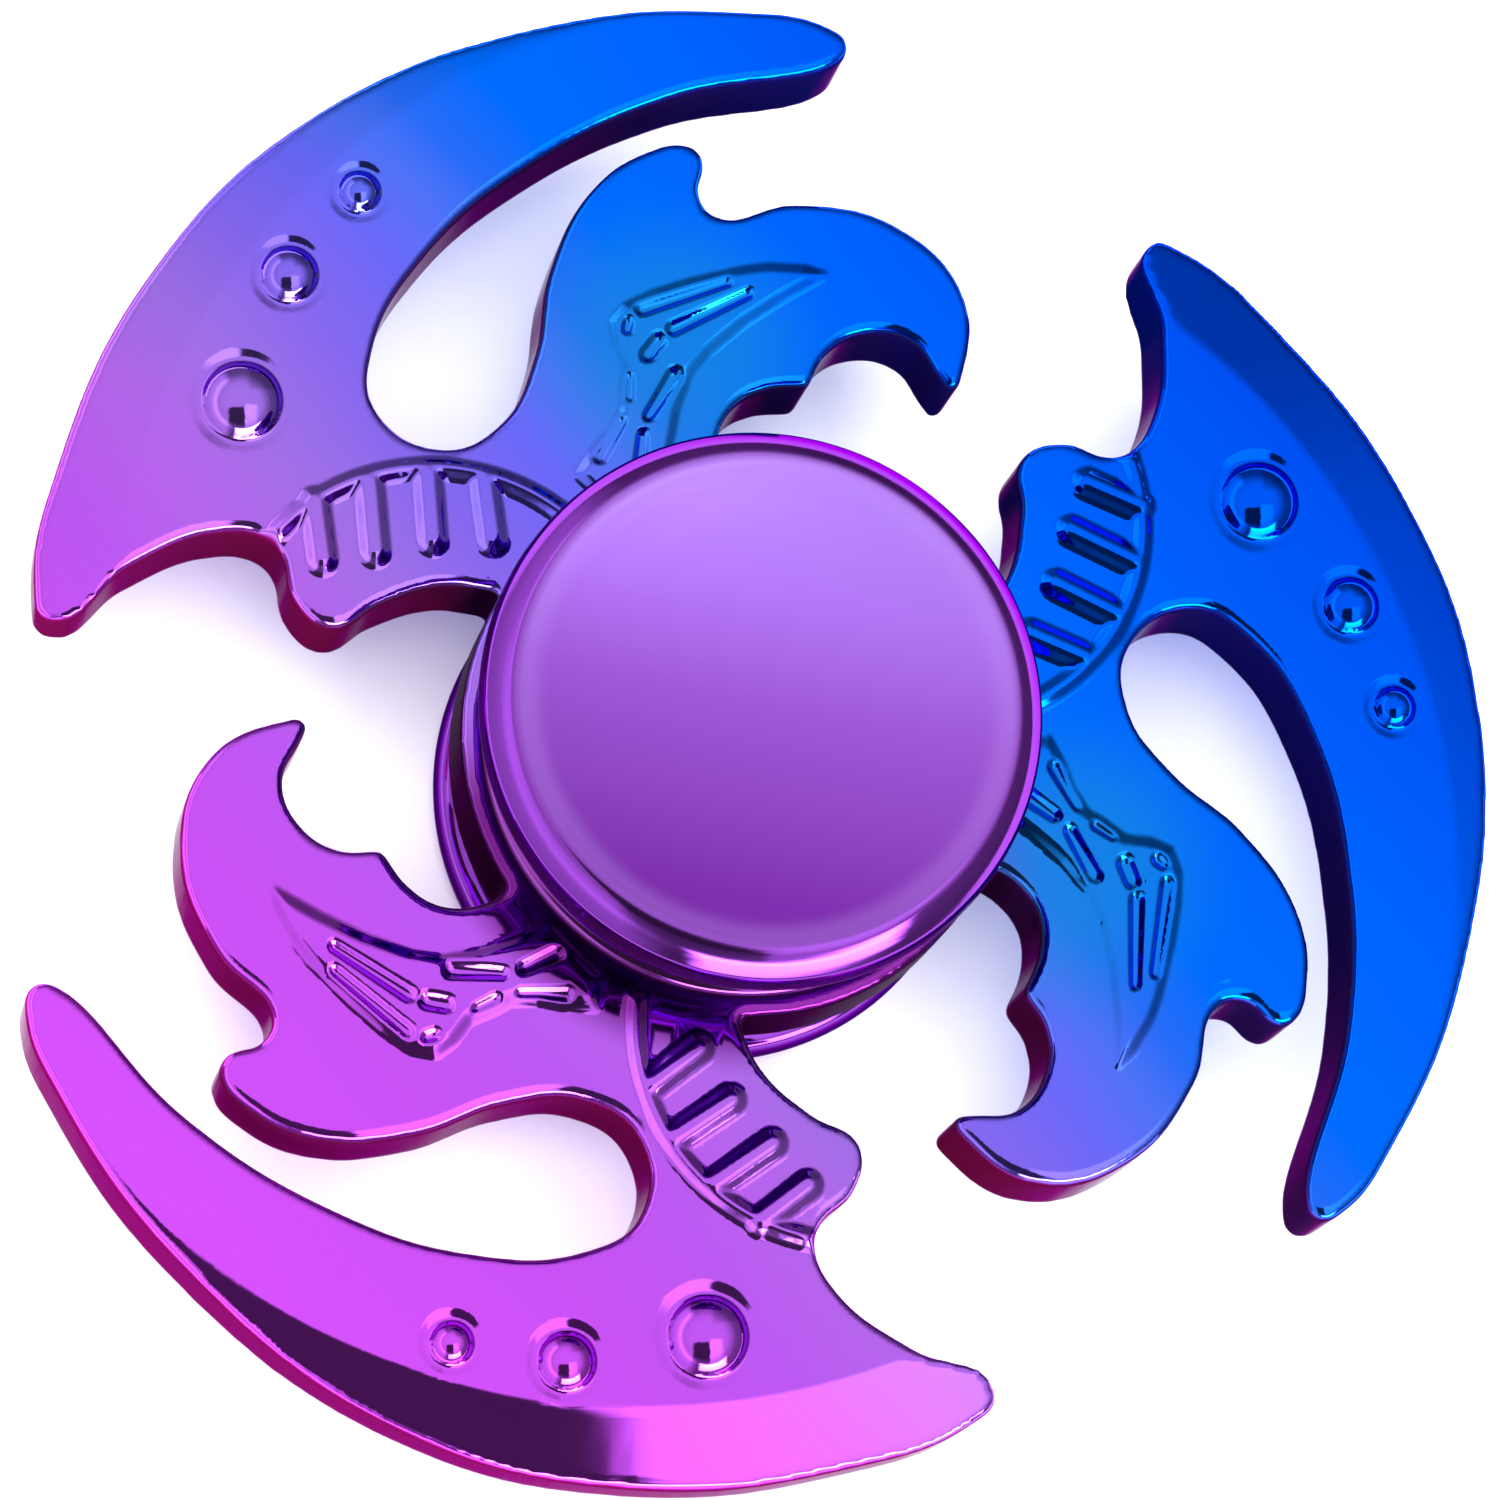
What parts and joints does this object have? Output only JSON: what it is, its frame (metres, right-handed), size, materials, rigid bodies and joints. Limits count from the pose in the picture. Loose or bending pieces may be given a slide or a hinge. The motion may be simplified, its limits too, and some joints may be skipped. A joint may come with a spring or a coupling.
{
  "type": "fidget spinner",
  "caption": "Hand spinner with axe-and-wing arms round a ball bearing, and a dished finger cap on each side that the rotor turns between.",
  "frame": {"origin": "on the spin axis, in the middle of the bearing's width", "axes": "+Z along the spin axis out of the top cap's dish; +Y and +X in the plane of the arms, one arm's blade lying towards -X and +Y"},
  "size_m": [0.0731, 0.0744, 0.0224],
  "materials": {
    "casting_plating": "mirror plating that runs from blue through violet to magenta across the part",
    "cap_plating": "violet plating, satin in the dish and glossy on the rim",
    "bearing_steel": "ground bearing steel",
    "ball_steel": "polished bearing balls",
    "shield_sheet": "pressed sheet steel",
    "cage_sheet": "pressed sheet steel",
    "spring_steel": "dark spring wire",
    "washer_steel": "zinc-plated steel"
  },
  "bodies": {
    "grip": {"bearing_inner_ring": "bearing_steel", "top_cap": "cap_plating", "bottom_cap": "cap_plating", "upper_washer": "washer_steel", "lower_washer": "washer_steel", "centre_stud": "washer_steel"},
    "rotor": {"rotor_casting": "casting_plating", "bearing_outer_ring": "bearing_steel", "upper_shield": "shield_sheet", "lower_shield": "shield_sheet", "upper_snap_ring": "spring_steel", "lower_snap_ring": "spring_steel"},
    "cage": {"upper_cage_half": "cage_sheet", "lower_cage_half": "cage_sheet"},
    "ball_1_body": {"ball_1": "ball_steel"},
    "ball_2_body": {"ball_2": "ball_steel"},
    "ball_3_body": {"ball_3": "ball_steel"},
    "ball_4_body": {"ball_4": "ball_steel"},
    "ball_5_body": {"ball_5": "ball_steel"},
    "ball_6_body": {"ball_6": "ball_steel"},
    "ball_7_body": {"ball_7": "ball_steel"}
  },
  "joints": [
    {"name": "rotor_spin", "type": "hinge", "parent": "grip", "child": "rotor", "pos_m": [0, 0, 0], "axis": [0, 0, 1], "continuous": true},
    {"name": "cage_turn", "type": "hinge", "parent": "grip", "child": "cage", "pos_m": [0, 0, 0], "axis": [0, 0, 1], "continuous": true},
    {"name": "ball_1_roll", "type": "hinge", "parent": "cage", "child": "ball_1_body", "pos_m": [0.0075, 0, 0], "axis": [0, 0, 1], "continuous": true},
    {"name": "ball_2_roll", "type": "hinge", "parent": "cage", "child": "ball_2_body", "pos_m": [0.00468, 0.00586, 0], "axis": [0, 0, 1], "continuous": true},
    {"name": "ball_3_roll", "type": "hinge", "parent": "cage", "child": "ball_3_body", "pos_m": [-0.00167, 0.00731, 0], "axis": [0, 0, 1], "continuous": true},
    {"name": "ball_4_roll", "type": "hinge", "parent": "cage", "child": "ball_4_body", "pos_m": [-0.00676, 0.00325, 0], "axis": [0, 0, 1], "continuous": true},
    {"name": "ball_5_roll", "type": "hinge", "parent": "cage", "child": "ball_5_body", "pos_m": [-0.00676, -0.00325, 0], "axis": [0, 0, 1], "continuous": true},
    {"name": "ball_6_roll", "type": "hinge", "parent": "cage", "child": "ball_6_body", "pos_m": [-0.00167, -0.00731, 0], "axis": [0, 0, 1], "continuous": true},
    {"name": "ball_7_roll", "type": "hinge", "parent": "cage", "child": "ball_7_body", "pos_m": [0.00468, -0.00586, 0], "axis": [0, 0, 1], "continuous": true}
  ],
  "couplings": [
    {"joint": "cage_turn", "follows": "rotor_spin", "ratio": 0.6323},
    {"joint": "ball_1_roll", "follows": "rotor_spin", "ratio": 1.757},
    {"joint": "ball_2_roll", "follows": "rotor_spin", "ratio": 1.757},
    {"joint": "ball_3_roll", "follows": "rotor_spin", "ratio": 1.757},
    {"joint": "ball_4_roll", "follows": "rotor_spin", "ratio": 1.757},
    {"joint": "ball_5_roll", "follows": "rotor_spin", "ratio": 1.757},
    {"joint": "ball_6_roll", "follows": "rotor_spin", "ratio": 1.757},
    {"joint": "ball_7_roll", "follows": "rotor_spin", "ratio": 1.757}
  ]
}
